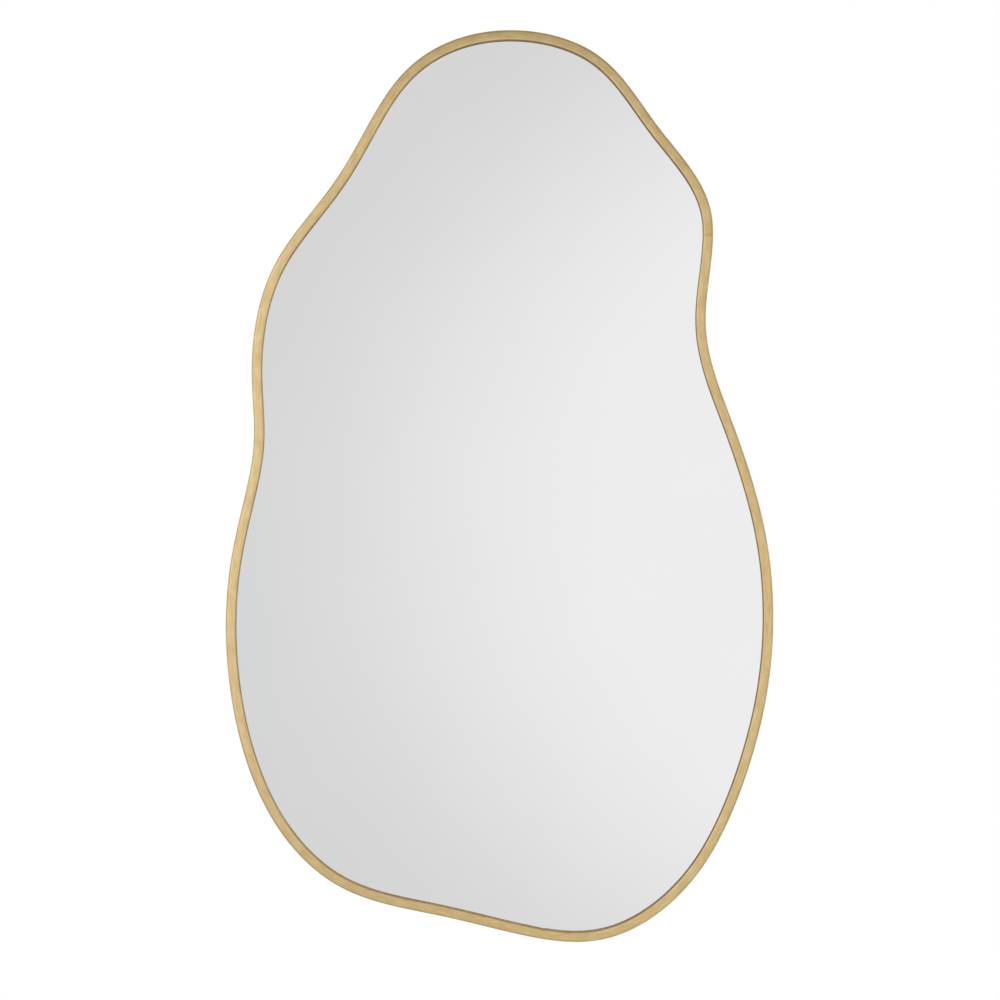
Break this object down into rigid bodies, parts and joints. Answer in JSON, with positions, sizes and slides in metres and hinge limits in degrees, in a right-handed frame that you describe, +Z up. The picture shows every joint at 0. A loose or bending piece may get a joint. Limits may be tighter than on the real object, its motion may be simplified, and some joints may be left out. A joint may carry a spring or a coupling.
{
  "type": "irregular wall mirror",
  "caption": "Wall mirror with an irregular pebble-shaped outline in a slim brushed brass-finish metal frame, with a backing board, swinging ring hangers and rubber bumpers behind.",
  "frame": {"origin": "on the wall plane, midway between the two wall hooks that carry the hanger rings, at the height where the hooks bear", "axes": "+X to the right seen from the front, +Z up, the mirror faces -Y and the wall is at +Y"},
  "size_m": [0.61, 0.026, 1.0158],
  "materials": {
    "brushed_brass": "satin brushed brass finish, grain along the strip",
    "silvered_glass": "clear float glass silvered on the back",
    "foam_tape": "white double-sided foam tape",
    "black_board": "black-faced fibreboard",
    "zinc_steel": "zinc-plated steel",
    "rubber_bumper": "matt dark grey rubber"
  },
  "bodies": {
    "root": {"frame_rail_right": "brushed_brass", "frame_rail_left": "brushed_brass", "splice_key_bottom": "zinc_steel", "splice_key_side": "zinc_steel", "mirror_glass": "silvered_glass", "foam_tape_1": "foam_tape", "foam_tape_2": "foam_tape", "foam_tape_3": "foam_tape", "foam_tape_4": "foam_tape", "foam_tape_5": "foam_tape", "foam_tape_6": "foam_tape", "backing_board": "black_board", "retaining_tab_1": "zinc_steel", "retaining_tab_2": "zinc_steel", "retaining_tab_3": "zinc_steel", "retaining_tab_4": "zinc_steel", "retaining_tab_5": "zinc_steel", "retaining_tab_6": "zinc_steel", "retaining_tab_7": "zinc_steel", "retaining_tab_8": "zinc_steel", "retaining_tab_9": "zinc_steel", "retaining_tab_10": "zinc_steel", "tab_screw_1": "zinc_steel", "tab_screw_2": "zinc_steel", "tab_screw_3": "zinc_steel", "tab_screw_4": "zinc_steel", "tab_screw_5": "zinc_steel", "tab_screw_6": "zinc_steel", "tab_screw_7": "zinc_steel", "tab_screw_8": "zinc_steel", "tab_screw_9": "zinc_steel", "tab_screw_10": "zinc_steel", "hanger_strap_left": "zinc_steel", "hanger_strap_right": "zinc_steel", "hanger_screw_left_upper": "zinc_steel", "hanger_screw_left_lower": "zinc_steel", "hanger_screw_right_upper": "zinc_steel", "hanger_screw_right_lower": "zinc_steel", "bumper_top_left": "rubber_bumper", "bumper_bottom_left": "rubber_bumper", "bumper_bottom_right": "rubber_bumper", "bumper_top_right": "rubber_bumper"},
    "ring_left": {"hanger_ring_left": "zinc_steel"},
    "ring_right": {"hanger_ring_right": "zinc_steel"}
  },
  "joints": [
    {"name": "ring_left_swing", "type": "hinge", "parent": "root", "child": "ring_left", "pos_m": [-0.17, -0.00575, -0.015], "axis": [1, 0, 0], "range_deg": [0, 175]},
    {"name": "ring_right_swing", "type": "hinge", "parent": "root", "child": "ring_right", "pos_m": [0.17, -0.00575, -0.015], "axis": [1, 0, 0], "range_deg": [0, 175]}
  ]
}
